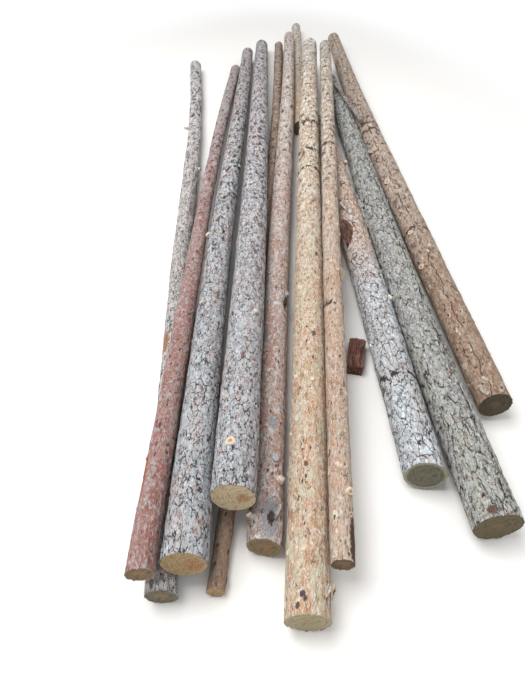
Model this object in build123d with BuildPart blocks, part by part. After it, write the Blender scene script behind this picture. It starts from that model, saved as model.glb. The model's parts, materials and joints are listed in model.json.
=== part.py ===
from build123d import *
import os
from dataclasses import dataclass, field
from math import cos, exp, pi, radians, sin, sqrt, tan

# A stack of twelve round pine logs on level ground, with a short pole and a split offcut caught in it.
#
# The logs run along +Y, away from the person who looks at the stack, with +X to the right and +Z up.
# Each log is a loft of circles that stand in XZ planes, so two logs can be compared circle by circle.
# The logs are dropped in the order of the list, and each one comes to rest on those below it.
# The bark is left smooth here. Taper, crook, butt flare, saw cuts, scars and branch stubs are modelled.
# The origin is the middle of the footprint, on the ground. Lengths are in millimetres, angles in degrees.

BARK_GAP = 0.3  # clearance left where one log touches another
SPANS = 6  # straight tapered spans that make up a log between its two ends
PROBE_STEP = 20.0  # spacing of the places at which two logs are compared
FLARE_REACH = 250.0  # length over which a butt flare dies away
COLLAR = 0.85  # trunk lofted by itself on each side of a stub, as a share of the stub's diameter
STUB_LEAN = 32.0  # angle by which a branch leans towards the top of the tree
STUB_TAPER = 5.0  # half-angle by which a branch stub narrows


@dataclass
class Stub:
    """A branch trimmed off close to the bark."""

    along: float  # from the near end of the log
    turn: float  # round the log from straight up, positive to the right
    dia: float
    proud: float  # how far it stands out of the bark


@dataclass
class Scar:
    """A long hollow where bark and wood were torn away."""

    along: float
    turn: float
    length: float
    width: float
    depth: float


@dataclass
class Log:
    """A round log. Its pith starts at (across, set_back) and runs to the far end."""

    label: str
    set_back: float  # distance of the near end behind the foremost one
    across: float  # pith at the near end, to the right of the datum line
    length: float
    near_dia: float
    far_dia: float
    heading: float = 0.0  # to the right of +Y
    bow: float = 0.0  # sideways bulge at mid-length
    swing: float = 0.0  # sideways swing, one way and then the other
    flare: float = 0.0  # extra diameter at the near end
    belly: float = 0.0  # extra diameter at mid-length
    skew: float = 0.0  # turn of the near saw cut, its right side further away
    lean: float = 0.0  # tip of the near saw cut, its top further away
    beside: str = ""  # log that it is rolled against from the right
    top_is_far: bool = True  # branches lean towards the top of the tree
    stubs: list = field(default_factory=list)
    scars: list = field(default_factory=list)
    height: float = 0.0  # of the pith at the near end
    rise: float = 0.0  # climb of the pith for each millimetre of Y

    @property
    def far_y(self):
        return self.set_back + self.length * cos(radians(self.heading))

    @property
    def span(self):
        return (self.far_y - self.set_back) / SPANS

    def crook(self, y):
        """Pith X and radius where the curve of the log is followed exactly."""
        share = (y - self.set_back) / (self.far_y - self.set_back)
        bend = self.bow * sin(pi * share) + self.swing * sin(2 * pi * share)
        x = self.across + (y - self.set_back) * tan(radians(self.heading)) + bend
        dia = self.near_dia + (self.far_dia - self.near_dia) * share + self.belly * sin(pi * share)
        dia += self.flare * exp(-(y - self.set_back) / FLARE_REACH)
        return x, dia / 2

    def section(self, y):
        """Pith X, pith Z and radius of the lofted log, which is straight between its stations."""
        index = min(max(int((y - self.set_back) / self.span), 0), SPANS - 1)
        start_y = self.set_back + index * self.span
        start_x, start_r = self.crook(start_y)
        end_x, end_r = self.crook(start_y + self.span)
        part_way = (y - start_y) / self.span
        x = start_x + (end_x - start_x) * part_way
        z = self.height + self.rise * (y - self.set_back)
        return x, z, start_r + (end_r - start_r) * part_way

    def loft_places(self):
        """Y of each section of the loft after the near end, with short spans where the bark is broken."""
        places = [self.set_back + step * self.span for step in range(1, SPANS + 1)]
        for stub in self.stubs:
            collar = COLLAR * stub.dia
            places += [self.set_back + stub.along - collar, self.set_back + stub.along + collar]
        for scar in self.scars:
            half = scar.length / 2
            places += [self.set_back + scar.along - half, self.set_back + scar.along + half]
        return sorted(places)


# The driving sizes of the stack, from the bottom of the heap to the top.
STACK = [
    Log("outer_left_log", set_back=76, across=-289, length=4792, near_dia=100, far_dia=104,
        heading=-4.0, bow=9, swing=-21, top_is_far=False,
        stubs=[Stub(along=3290, turn=-72, dia=18, proud=30)]),
    Log("thin_bottom_log", set_back=97, across=-137, length=5447, near_dia=59, far_dia=87,
        heading=3.2, bow=50),
    Log("buried_log", set_back=3401, across=280, length=2806, near_dia=110, far_dia=100,
        heading=1.9),
    Log("scarred_log", set_back=444, across=542, length=3002, near_dia=146, far_dia=130,
        heading=-2.08, belly=12, skew=-6, lean=4,
        stubs=[Stub(along=2260, turn=62, dia=22, proud=16)],
        scars=[Scar(along=1420, turn=-42, length=130, width=54, depth=13)]),
    Log("furrowed_log", set_back=263, across=722, length=4138, near_dia=161, far_dia=112,
        heading=-1.9, bow=-14, swing=-9, belly=20, skew=4, beside="scarred_log"),
    Log("outer_right_log", set_back=743, across=860, length=4977, near_dia=129, far_dia=121,
        heading=-1.36, bow=-38, swing=4, belly=23, skew=3, lean=3, beside="furrowed_log", top_is_far=False,
        stubs=[Stub(along=1660, turn=-46, dia=30, proud=14), Stub(along=2090, turn=-38, dia=26, proud=24)]),
    Log("red_log", set_back=91, across=-336, length=4668, near_dia=87, far_dia=93,
        heading=1.12, bow=-32, swing=5, belly=-6, skew=5),
    Log("left_grey_log", set_back=124, across=-220, length=5035, near_dia=133, far_dia=107,
        heading=0.86, bow=-13, swing=-9, flare=6, belly=3, lean=3,
        stubs=[Stub(along=1670, turn=-62, dia=24, proud=14), Stub(along=2450, turn=58, dia=22, proud=9)]),
    Log("stubbed_log", set_back=208, across=6, length=5321, near_dia=115, far_dia=97,
        heading=2.83, bow=7, swing=-8, belly=10, skew=-9, lean=2,
        stubs=[Stub(along=80, turn=-56, dia=18, proud=12), Stub(along=209, turn=46, dia=22, proud=12)]),
    Log("long_orange_log", set_back=0, across=123, length=4904, near_dia=136, far_dia=134,
        heading=3.6, bow=-2, swing=2, belly=6, skew=-2, top_is_far=False),
    Log("slim_orange_log", set_back=134, across=228, length=4682, near_dia=77, far_dia=100,
        heading=4.1, bow=-1, swing=-2, belly=7, skew=-3, top_is_far=False,
        stubs=[Stub(along=210, turn=30, dia=22, proud=14)]),
    Log("top_log", set_back=303, across=-88, length=5166, near_dia=144, far_dia=121,
        heading=0.89, bow=13, swing=2, belly=12, skew=-3, lean=3,
        stubs=[Stub(along=800, turn=32, dia=18, proud=14)]),
    Log("short_pole", set_back=3300, across=703, length=730, near_dia=36, far_dia=34, heading=-9.3),
]

# The split offcut lies on the ground, its far right edge against the scarred log.
OFFCUT_LENGTH = 172.0
OFFCUT_WIDTH = 76.0
OFFCUT_HEIGHT = 52.0
OFFCUT_EAVES = 44.0  # height of its side faces, below the curve of the bark
OFFCUT_SET_BACK = 975.0
OFFCUT_HEADING = 12.0


def probes(log, other=None):
    """Places along a log, or along the stretch that it shares with another."""
    low = max(log.set_back, other.set_back) if other else log.set_back
    high = min(log.far_y, other.far_y) if other else log.far_y
    if high <= low:
        return []
    count = max(2, int((high - low) / PROBE_STEP))
    return [low + (high - low) * i / count for i in range(count + 1)]


def balance_point(log):
    """Y of the log's centre of gravity."""
    slices = [(y, log.section(y)[2] ** 2) for y in probes(log)]
    return sum(y * area for y, area in slices) / sum(area for _, area in slices)


def passes_under(a, b, c):
    """True where b lies on or below the straight line from a to c."""
    return (b[0] - a[0]) * (c[1] - a[1]) >= (b[1] - a[1]) * (c[0] - a[0])


def drop(log, carriers):
    """Lower a log until the ground or its carriers hold it on both sides of its balance point."""
    needed = [(y, log.section(y)[2]) for y in probes(log)]
    for carrier in carriers:
        for y in probes(log, carrier):
            x, _, r = log.section(y)
            other_x, other_z, other_r = carrier.section(y)
            reach = r + other_r + BARK_GAP
            if abs(x - other_x) < reach:
                needed.append((y, other_z + sqrt(reach**2 - (x - other_x) ** 2)))
    taut = []
    for point in sorted(needed):
        while len(taut) > 1 and passes_under(taut[-2], taut[-1], point):
            taut.pop()
        if taut and taut[-1][0] == point[0]:
            taut.pop()
        taut.append(point)
    balance = balance_point(log)
    near, far = next((a, b) for a, b in zip(taut, taut[1:]) if a[0] <= balance <= b[0])
    log.rise = (far[1] - near[1]) / (far[0] - near[0])
    log.height = near[1] + log.rise * (log.set_back - near[0])


def roll_against(log, neighbour):
    """Roll a log along the ground, from the right, until it touches its neighbour."""
    shifts = []
    for y in probes(log, neighbour):
        x, z, r = log.section(y)
        other_x, other_z, other_r = neighbour.section(y)
        apart = sqrt((r + other_r + BARK_GAP) ** 2 - (z - other_z) ** 2)
        shifts.append(other_x + apart - x)
    log.across += max(shifts)


def pile_up(logs):
    """Put the logs down one after another."""
    placed = {}
    for log in logs:
        if log.beside:
            drop(log, [])
            roll_against(log, placed[log.beside])
        drop(log, placed.values())
        placed[log.label] = log
    return placed


def footprint_middle(logs):
    """Middle of the ground that the logs cover, seen from above."""
    lefts = []
    rights = []
    for log in logs:
        for step in range(SPANS + 1):
            x, _, r = log.section(log.set_back + step * log.span)
            lefts.append(x - r)
            rights.append(x + r)
    front = min(log.set_back for log in logs)
    back = max(log.far_y for log in logs)
    return (min(lefts) + max(rights)) / 2, (front + back) / 2


def shape_stub(log, stub):
    """Add a branch stub that grows from the pith and leans towards the top of the tree."""
    x, z, r = log.section(log.set_back + stub.along)
    turn = radians(stub.turn)
    lean = radians(STUB_LEAN if log.top_is_far else -STUB_LEAN)
    outward = (sin(turn) * cos(lean), sin(lean), cos(turn) * cos(lean))
    reach = (r + stub.proud) / cos(lean)
    base_dia = stub.dia + 2 * reach * tan(radians(STUB_TAPER))
    pith = (x - middle_x, log.set_back + stub.along - r * tan(lean) - middle_y, z)
    with BuildSketch(Plane(origin=pith, z_dir=outward)) as foot:
        Circle(base_dia / 2)
    extrude(foot.sketch, amount=reach, taper=STUB_TAPER)


def shape_scar(log, scar):
    """Hollow out a scar with a spindle that is turned about a line parallel to the trunk.

    The spindle is as fat as the scar's width needs, and it leaves the bark at both ends of the scar."""
    x, z, r = log.section(log.set_back + scar.along)
    turn = radians(scar.turn)
    outward = Vector(sin(turn), 0, cos(turn))
    sink = r - scar.depth
    chord = sqrt(r**2 - (scar.width / 2) ** 2)
    fat = (sink**2 + r**2 - 2 * chord * sink) / (2 * (chord - sink))
    curve = ((scar.length / 2) ** 2 + scar.depth**2) / (2 * scar.depth)
    reach = sqrt(curve**2 - (curve - fat) ** 2)
    centre = Vector(x - middle_x, log.set_back + scar.along - middle_y, z) + outward * (sink + fat)
    side = outward.cross(Vector(0, 1, 0))
    with BuildSketch(Plane(origin=centre, x_dir=(0, 1, 0), z_dir=side)) as spindle:
        with BuildLine():
            Line((-reach, 0), (reach, 0))
            ThreePointArc((reach, 0), (0, fat), (-reach, 0))
        make_face()
    revolve(spindle.sketch, axis=Axis(centre, (0, 1, 0)), mode=Mode.SUBTRACT)


def saw_plane(log):
    """Plane of the near saw cut, centred on the pith, which just reaches the foremost point of the log."""
    x, z, r = log.section(log.set_back)
    facing = Vector(tan(radians(log.skew)), -1, tan(radians(log.lean)))
    depth = r * sqrt(facing.X**2 + facing.Z**2)
    centre = (x - middle_x, log.set_back + depth - middle_y, z)
    return Plane(origin=centre, x_dir=(1, tan(radians(log.skew)), 0), z_dir=facing)


os.makedirs("parts", exist_ok=True)
placed = pile_up(STACK)
middle_x, middle_y = footprint_middle(STACK)

for log in STACK:
    with BuildPart() as trunk:
        with BuildSketch(saw_plane(log)):
            Circle(log.section(log.set_back)[2])
        for y in log.loft_places():
            x, z, r = log.section(y)
            with BuildSketch(Plane.XZ.offset(middle_y - y)):
                with Locations((x - middle_x, z)):
                    Circle(r)
        loft(ruled=True)
        for stub in log.stubs:
            shape_stub(log, stub)
        for scar in log.scars:
            shape_scar(log, scar)
    trunk.part.label = log.label
    export_step(trunk.part, f"parts/{log.label}.step")

carrier = placed["scarred_log"]
far_edge_y = OFFCUT_SET_BACK + OFFCUT_LENGTH * cos(radians(OFFCUT_HEADING))
flank_x, flank_z, flank_r = carrier.section(far_edge_y)
half_chord = sqrt(flank_r**2 - (flank_z - OFFCUT_EAVES) ** 2)
far_edge_x = flank_x - half_chord - BARK_GAP
near_edge_x = far_edge_x - OFFCUT_LENGTH * sin(radians(OFFCUT_HEADING))

with BuildPart() as split_offcut:
    near_corner = (near_edge_x - middle_x, OFFCUT_SET_BACK - middle_y, 0)
    heading = Vector(-sin(radians(OFFCUT_HEADING)), -cos(radians(OFFCUT_HEADING)), 0)
    with BuildSketch(Plane(origin=near_corner, x_dir=(cos(radians(OFFCUT_HEADING)),
                                                      -sin(radians(OFFCUT_HEADING)), 0), z_dir=heading)):
        with BuildLine():
            Polyline((0, OFFCUT_EAVES), (0, 0), (-OFFCUT_WIDTH, 0), (-OFFCUT_WIDTH, OFFCUT_EAVES))
            ThreePointArc((-OFFCUT_WIDTH, OFFCUT_EAVES), (-OFFCUT_WIDTH / 2, OFFCUT_HEIGHT),
                          (0, OFFCUT_EAVES))
        make_face()
    extrude(amount=-OFFCUT_LENGTH)

split_offcut.part.label = "split_offcut"
export_step(split_offcut.part, "parts/split_offcut.step")
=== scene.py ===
import json
from math import ceil, cos, pi, radians, sin
from random import Random
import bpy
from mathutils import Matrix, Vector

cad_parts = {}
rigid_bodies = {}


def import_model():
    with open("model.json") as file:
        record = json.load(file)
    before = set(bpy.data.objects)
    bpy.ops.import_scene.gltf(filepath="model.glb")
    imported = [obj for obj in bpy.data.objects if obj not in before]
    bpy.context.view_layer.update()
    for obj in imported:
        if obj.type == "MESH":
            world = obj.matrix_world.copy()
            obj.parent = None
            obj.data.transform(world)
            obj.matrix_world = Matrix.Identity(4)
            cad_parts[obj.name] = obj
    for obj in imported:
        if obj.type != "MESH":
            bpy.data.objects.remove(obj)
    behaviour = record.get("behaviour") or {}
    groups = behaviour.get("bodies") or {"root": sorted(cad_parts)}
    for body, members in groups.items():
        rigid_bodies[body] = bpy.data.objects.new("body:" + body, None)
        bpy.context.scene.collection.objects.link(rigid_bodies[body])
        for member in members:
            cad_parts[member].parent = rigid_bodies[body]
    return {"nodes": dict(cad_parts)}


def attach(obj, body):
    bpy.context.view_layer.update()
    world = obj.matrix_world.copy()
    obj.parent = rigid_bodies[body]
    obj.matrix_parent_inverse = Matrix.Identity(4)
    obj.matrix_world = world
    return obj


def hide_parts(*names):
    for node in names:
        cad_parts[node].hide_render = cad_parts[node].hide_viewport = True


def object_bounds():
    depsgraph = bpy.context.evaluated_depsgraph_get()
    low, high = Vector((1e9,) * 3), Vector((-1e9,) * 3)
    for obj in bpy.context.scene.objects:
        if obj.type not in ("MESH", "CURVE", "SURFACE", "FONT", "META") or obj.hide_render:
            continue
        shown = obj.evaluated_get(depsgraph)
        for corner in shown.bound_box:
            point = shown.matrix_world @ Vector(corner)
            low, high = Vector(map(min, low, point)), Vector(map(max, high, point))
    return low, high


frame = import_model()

from types import SimpleNamespace

import bpy
import numpy as np
from mathutils import Vector, noise

cad_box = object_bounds()

# The outer pole and the two bottom logs
# The first timber laid on the ground: a thin grey pole on the left, a brown one under the heap and
# an orange log deep inside it. Each is a trunk in its bark, sawn off at both ends.


class Value:
    """A socket of a node tree that can be used in sums."""

    def __init__(self, recipe, socket):
        self.recipe = recipe
        self.socket = socket

    def math(self, operation, *others):
        inputs = dict(enumerate((self, *others)))
        return self.recipe.node("ShaderNodeMath", {"operation": operation}, inputs)

    def __add__(self, other):
        return self.math("ADD", other)

    def __sub__(self, other):
        return self.math("SUBTRACT", other)

    def __rsub__(self, other):
        return self.recipe.node("ShaderNodeMath", {"operation": "SUBTRACT"}, {0: other, 1: self})

    def __mul__(self, other):
        return self.math("MULTIPLY", other)

    def __truediv__(self, other):
        return self.math("DIVIDE", other)

    __radd__ = __add__
    __rmul__ = __mul__

    def step(self, low, high):
        """0 at low and 1 at high, with a soft change between them. High may be below low."""
        settings = {"interpolation_type": "SMOOTHSTEP"}
        return self.recipe.node("ShaderNodeMapRange", settings, {0: self, 1: low, 2: high})

    def past(self, level, band):
        """0 up to a level and 1 from a band above it."""
        return self.step(level, level + band)


class Recipe:
    """The nodes of one bark, wood or relief."""

    def __init__(self, tree):
        self.tree = tree

    def feed(self, socket, value):
        if isinstance(value, Value):
            self.tree.links.new(value.socket, socket)
        elif socket.type == "RGBA" and len(value) == 3:
            socket.default_value = (*value, 1)
        else:
            socket.default_value = value

    def node(self, kind, settings, inputs, output=0):
        made = self.tree.nodes.new(kind)
        for name, value in settings.items():
            setattr(made, name, value)
        for name, value in inputs.items():
            self.feed(made.inputs[name], value)
        return Value(self, made.outputs[output])

    def mix(self, share, first, second):
        """A colour between two others."""
        settings = {"data_type": "RGBA", "clamp_factor": True}
        return self.node("ShaderNodeMix", settings, {0: share, 6: first, 7: second}, 2)

    def layers(self, colour, *layers):
        """A colour with others laid over it one by one, each given as its share and itself."""
        for share, over in layers:
            colour = self.mix(share, colour, over)
        return colour

    def attribute(self, name, output=2):
        """What is noted at the vertices: output 2 is a number and output 1 a place."""
        return self.node("ShaderNodeAttribute", {"attribute_name": name}, {}, output)

    def axis(self, place, name):
        """The X, Y or Z of a place."""
        return self.node("ShaderNodeSeparateXYZ", {}, {0: place}, "XYZ".index(name))

    def turn(self, place):
        """The angle round the pith, in radians from the top of the log."""
        return self.axis(place, "X").math("ARCTAN2", self.axis(place, "Z"))

    def vector(self, operation, first, second, output=0):
        inputs = {0: first, 1: second}
        return self.node("ShaderNodeVectorMath", {"operation": operation}, inputs, output)

    def stretch(self, place, size):
        """The place counted in grains of this size, which is given across and along the log."""
        across, along = size
        return self.vector("MULTIPLY", place, (1 / across, 1 / along, 1 / across))

    def noise(self, place, size, detail=2.0, output=0):
        inputs = {"Vector": self.stretch(place, size), "Scale": 1.0, "Detail": detail, "Roughness": 0.6}
        return self.node("ShaderNodeTexNoise", {}, inputs, output)

    def cells(self, place, size, feature="F1", output=0):
        inputs = {"Vector": self.stretch(place, size), "Scale": 1.0, "Randomness": 1.0}
        return self.node("ShaderNodeTexVoronoi", {"feature": feature}, inputs, output)

    def lottery(self, place, size):
        """A number drawn for each cell."""
        return self.node("ShaderNodeSeparateColor", {}, {0: self.cells(place, size, "F1", 1)})

    def warp(self, place, size, amount):
        """The place pushed about, so that cracks waver."""
        push = self.vector("SUBTRACT", self.noise(place, size, 2.0, 1), (0.5, 0.5, 0.5))
        return self.vector("ADD", place, self.vector("MULTIPLY", push, (amount, amount * 2, amount)))

    def lines(self, place, size, width):
        """1 on thin wandering lines and 0 between them."""
        return (self.noise(place, size, 1.5) - 0.5).math("ABSOLUTE").step(width, width * 0.3)

    def furrows(self, place, look, width=1.0):
        """1 in the deep cracks between the plates of bark and 0 on the plates. Some cracks are shut."""
        wavering = self.warp(place, (0.012, 0.03), look.waver)
        edge = self.cells(wavering, look.plate, "DISTANCE_TO_EDGE")
        gape = self.noise(place, (0.02, 0.05), 1).past(look.shut, 0.15)
        return edge.step(look.crack * width, look.crack * 0.2) * gape

    def whorl_cracks(self, place, whorls):
        """1 on the broken cracks that run round the log at its whorls of branches."""
        y = self.axis(place, "Y") + (self.noise(place, (0.035, 0.2)) - 0.5) * 0.07
        marks = self.noise(place, (0.028, 0.05)).step(0.42, 0.48)
        rings = 0.0
        for whorl, width in whorls:
            rings = (y - whorl).math("ABSOLUTE").step(width, width * 0.45) + rings
        return marks * rings

    def seam(self, place, splits):
        """1 on long splits that run along the log at these turns from its top, in degrees."""
        turn = self.turn(place) + (self.noise(place, (0.2, 0.09), 3) - 0.5) * 0.9
        gape = self.noise(place, (0.3, 0.11), 1).step(0.36, 0.46)
        lines = 0.0
        for split in splits:
            lines = (turn - radians(split)).math("ABSOLUTE").step(0.055, 0.02) + lines
        return lines * gape

    def spot(self, place, spot):
        """1 on a ragged patch of the bark and 0 round it."""
        y, turn, reach_along, reach_round = spot
        across = (self.turn(place) - turn) / reach_round
        down = (self.axis(place, "Y") - y) / reach_along
        ragged = (self.noise(place, (0.007, 0.014), 3) - 0.5) * 1.8
        return ((across * across + down * down).math("SQRT") + ragged).step(1.1, 0.8)

    def mark_bark(self, colour, place, look, shade_and_marks, grain):
        """Painted shade in the cracks, with the bark's own dark marks, over a colour, and then the bare
        strips and bruises of this log.
        """
        colour = self.mix(shade_and_marks.math("MINIMUM", 0.96), colour, look.deep)
        for spot, wood in look.spots:
            colour = self.mix(self.spot(place, spot), colour, self.mix(grain, look.deep, wood))
        return colour

    def store(self, shape, name, value, kind="FLOAT"):
        """Note a value at each vertex of a shape."""
        settings = {"data_type": kind, "domain": "POINT"}
        inputs = {"Geometry": shape, "Name": name, "Value": value}
        return self.node("GeometryNodeStoreNamedAttribute", settings, inputs)

    def close(self, kind, result):
        """Lead the result into the tree's output node."""
        self.tree.links.new(result.socket, self.tree.nodes.new(kind).inputs[0])

    def finish(self, colour, rough, height, strength):
        """Close the material of a piece. The height is that of its finest relief, in metres."""
        bump = {"Strength": strength, "Distance": 1.0, "Height": height}
        self.close("ShaderNodeOutputMaterial", self.node("ShaderNodeBsdfPrincipled", {}, {
            "Base Color": colour, "Roughness": rough, "Specular IOR Level": 0.2,
            "Normal": self.node("ShaderNodeBump", {}, bump)}))


def new_material(name):
    material = bpy.data.materials.new(name)
    material.use_nodes = True
    material.node_tree.nodes.clear()
    return material, Recipe(material.node_tree)


AROUND = 0.0051  # width of a face of the skin
NEAR_ROW = 0.006  # length of a face at the near end
FAR_ROW = 0.015  # and at the far end
BARK = 0.005  # thickness of bark on the sawn faces
UPPER_CROWD = 0.3  # how much narrower the faces are on the upper side, from 0 to 1
RING_SHARES = (0.0, 0.18, 0.36, 0.54, 0.72, 0.88, 1.0)  # of the wood, for the rings of a sawn face
MOST_SLANT = 0.03  # how far a saw cut reaches along its log
FEWEST_SIDES = 9  # a level of the CAD mesh is a ring if it has more vertices than this
OUT_OF_ROUND = 0.002  # a ring with a stub or a scar in it differs by more
HAIR = 0.0001  # vertices that close to the end of a log lie on its sawn face


def sections_of(node):
    """Y, pith X, pith Z and radius at each ring of a CAD log, and the slopes of its near saw cut."""
    mesh = frame["nodes"][node].data
    points = np.array([v.co for v in mesh.vertices])
    front = points[:, 1].min() + MOST_SLANT
    ends = [face for face in mesh.polygons if face.normal.y < -0.95 and face.center.y < front]
    cut = {v for face in ends for v in face.vertices}
    rim = np.unique(np.round(points[sorted(cut)], 5), axis=0)
    flat = np.c_[np.ones(len(rim)), rim[:, 0], rim[:, 2]]
    _, slope_x, slope_z = np.linalg.lstsq(flat, rim[:, 1], rcond=None)[0]
    rings = [rim]
    levels = np.round(points[:, 1], 4)
    for level in np.unique(levels):
        ring = np.unique(np.round(points[levels == level], 5), axis=0)
        if len(ring) > FEWEST_SIDES and level > rim[:, 1].max() + 0.01:
            rings.append(ring)
    table = []
    for ring in rings:
        middle = (ring.min(0) + ring.max(0)) / 2
        reach = np.hypot(ring[:, 0] - middle[0], ring[:, 2] - middle[2])
        if np.ptp(reach) < OUT_OF_ROUND:
            table.append((middle[1], middle[0], middle[2], reach.max()))
    return np.array(table), (slope_x, slope_z)


def radius_at(sections, y):
    return np.interp(y, sections[:, 0], sections[:, 3])


def pick(*pieces):
    """Select these objects alone, the first as the active one."""
    bpy.ops.object.select_all(action="DESELECT")
    for piece in pieces:
        piece.select_set(True)
    bpy.context.view_layer.objects.active = pieces[0]


def add(name, data):
    """A new object of this mesh, lamp or camera in the scene, selected."""
    piece = bpy.data.objects.new(name, data)
    bpy.context.scene.collection.objects.link(piece)
    pick(piece)
    return piece


def edit(*steps):
    """Take the selected piece through some steps of edit mode, each on all of its mesh."""
    bpy.ops.object.mode_set(mode="EDIT")
    for step in steps:
        bpy.ops.mesh.select_all(action="SELECT")
        step()
    bpy.ops.object.mode_set(mode="OBJECT")


def face_out():
    bpy.ops.mesh.normals_make_consistent(inside=False)


def turned(name, outline, steps):
    """An outline spun round the Y axis into a closed skin."""
    mesh = bpy.data.meshes.new(name)
    mesh.from_pydata(outline, [(i, i + 1) for i in range(len(outline) - 1)], [])
    piece = add(name, mesh)
    edit(lambda: bpy.ops.mesh.spin(steps=steps, angle=2 * pi, center=(0, 0, 0), axis=(0, 1, 0)),
         lambda: bpy.ops.mesh.remove_doubles(threshold=0.00002), face_out)
    return piece


def places(mesh):
    """The vertices of a mesh as an array."""
    co = np.zeros(len(mesh.vertices) * 3)
    mesh.vertices.foreach_get("co", co)
    return co.reshape(-1, 3)


def put(mesh, co):
    """Move the vertices of a mesh to these places."""
    mesh.vertices.foreach_set("co", np.ascontiguousarray(co).ravel())
    mesh.update()


def push_out(mesh, co, outward, push):
    """Move vertices away from the pith, or towards it where the push is below 0."""
    grown = (outward + push) / np.maximum(outward, 1e-6)
    co[:, 0] *= grown
    co[:, 2] *= grown
    put(mesh, co)


def turned_away(co, turn):
    """The angle round the pith from this turn to each vertex."""
    return (np.arctan2(co[:, 0], co[:, 2]) - turn + pi) % (2 * pi) - pi


def note(mesh, name, values):
    """Write a number at each vertex, for a relief or a material to read."""
    attribute = mesh.attributes.get(name) or mesh.attributes.new(name, "FLOAT", "POINT")
    attribute.data.foreach_set("value", np.ascontiguousarray(values, dtype=np.float32))


def straight_log(name, sections, coarse):
    """A straight log, tapered as the CAD log is, with its pith on the Y axis and rings on its ends."""
    near, far = sections[0, 0], sections[-1, 0]
    rows = [near]
    while rows[-1] < far:
        share = (rows[-1] - near) / (far - near)
        rows.append(rows[-1] + (NEAR_ROW + (FAR_ROW - NEAR_ROW) * share) * coarse)
    rows = near + (np.array(rows) - near) * (far - near) / (rows[-1] - near)
    radii = radius_at(sections, rows)
    near_wood = [(0, near, (radii[0] - BARK) * share) for share in RING_SHARES]
    far_wood = [(0, far, (radii[-1] - BARK) * share) for share in RING_SHARES]
    skin = [(0, y, radius) for y, radius in zip(rows, radii)]
    steps = max(24, ceil(2 * pi * radii.mean() / AROUND / coarse))
    log = turned(name, near_wood + skin + far_wood[::-1], steps)
    co = places(log.data)
    outward = np.hypot(co[:, 0], co[:, 2])
    radius = radius_at(sections, co[:, 1])
    at_end = (co[:, 1] < near + HAIR) | (co[:, 1] > far - HAIR)
    in_bark = outward > radius - BARK / 2
    note(log.data, "bark_here", in_bark)
    note(log.data, "share_out", outward / radius)
    # The vertices lie closer together on the upper side, which is seen.
    angle = np.arctan2(co[:, 0], co[:, 2])
    angle = angle - UPPER_CROWD * np.sin(angle)
    co[:, 0] = outward * np.sin(angle)
    co[:, 2] = outward * np.cos(angle)
    put(log.data, co)
    wood = at_end & ~in_bark
    for face in log.data.polygons:
        face.material_index = 1 if any(wood[v] for v in face.vertices) else 0
    return log


# The radius of a stub as a share of its diameter, and its height: metres below 0 and a share above it.
STUB_PROFILE = ((0.8, -0.008), (0.66, -0.001), (0.57, 0.25), (0.52, 0.6), (0.5, 1.0), (0.44, 1.04),
                (0.26, 1.0), (0.1, 0.97))
STUB_STEPS = 18
FLUSH = 0.008  # a knot that stands out less than this was cut along the bark
STUB_LEAN = 32  # degrees, towards the top of the tree


def branch_stub(log, sections, knot, top_is_far):
    """A cut branch that stands out of the bark, which swells round its foot."""
    along, turn, dia, proud = knot[0] / 1000, radians(knot[1]), knot[2] / 1000, knot[3] / 1000
    y = sections[0, 0] + along
    radius = radius_at(sections, y)
    lean = 0 if proud < FLUSH else radians(STUB_LEAN if top_is_far else -STUB_LEAN)
    out = np.array([sin(turn) * cos(lean), sin(lean), cos(turn) * cos(lean)])
    side = np.cross(out, (0, 1, 0))
    side /= np.linalg.norm(side)
    up = np.cross(side, out)
    foot = np.array([sin(turn), 0, cos(turn)]) * radius + (0, y, 0)
    ragged = Random(knot[0])
    points = []
    for share, rise in STUB_PROFILE:
        reach = rise * proud if rise > 0 else rise
        for step in range(STUB_STEPS):
            around = 2 * pi * step / STUB_STEPS
            wobble = 1 + 0.09 * sin(3 * around + knot[0]) + ragged.uniform(-0.03, 0.03)
            spoke = side * cos(around) + up * sin(around)
            points.append(foot + out * reach + spoke * dia * share * wobble)
    points.append(foot + out * proud * 0.97)
    faces = []
    for row in range(len(STUB_PROFILE) - 1):
        for step in range(STUB_STEPS):
            a = row * STUB_STEPS + step
            b = row * STUB_STEPS + (step + 1) % STUB_STEPS
            faces.append((a, b, b + STUB_STEPS, a + STUB_STEPS))
    last = (len(STUB_PROFILE) - 1) * STUB_STEPS
    tip = len(points) - 1
    faces += [(last + step, last + (step + 1) % STUB_STEPS, tip) for step in range(STUB_STEPS)]
    mesh = bpy.data.meshes.new("stub")
    mesh.from_pydata([tuple(p) for p in points], [], faces)
    note(mesh, "bark_here", np.zeros(len(points)))
    note(mesh, "share_out", [share * 2 for share, _ in STUB_PROFILE for _ in range(STUB_STEPS)] + [0.0])
    for face in mesh.polygons:
        face.material_index = 2 if min(face.vertices) >= 2 * STUB_STEPS else 0
    stub = add("stub", mesh)
    edit(face_out)
    co = places(log.data)
    outward = np.hypot(co[:, 0], co[:, 2])
    reach = np.hypot(turned_away(co, turn) * radius, (co[:, 1] - y) / 1.5)
    swell = 0.16 * dia * np.exp(-(reach / (0.95 * dia)) ** 2)
    swell[outward < radius * 0.9] = 0
    push_out(log.data, co, outward, swell)
    return stub


def thicken(piece, thickness, offset):
    """Give a bare sheet of bark its thickness."""
    solidify = piece.modifiers.new("thickness", "SOLIDIFY")
    solidify.thickness = thickness
    solidify.offset = offset
    bpy.ops.object.modifier_apply(modifier="thickness")


CHIPS = ((0.01, 0.02), (0.014, 0.017), (0.007, 0.024), (0.018, 0.026))  # widths and lengths
CHIP_SKIN = 0.0008
SMALLEST_CHIP, LARGEST_CHIP = 0.45, 1.15  # as shares of those
FLAP_SKIN = 0.0018
UNEVEN = 0.008  # depth of the hollows along a log that are broader than its bark's lumps


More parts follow.
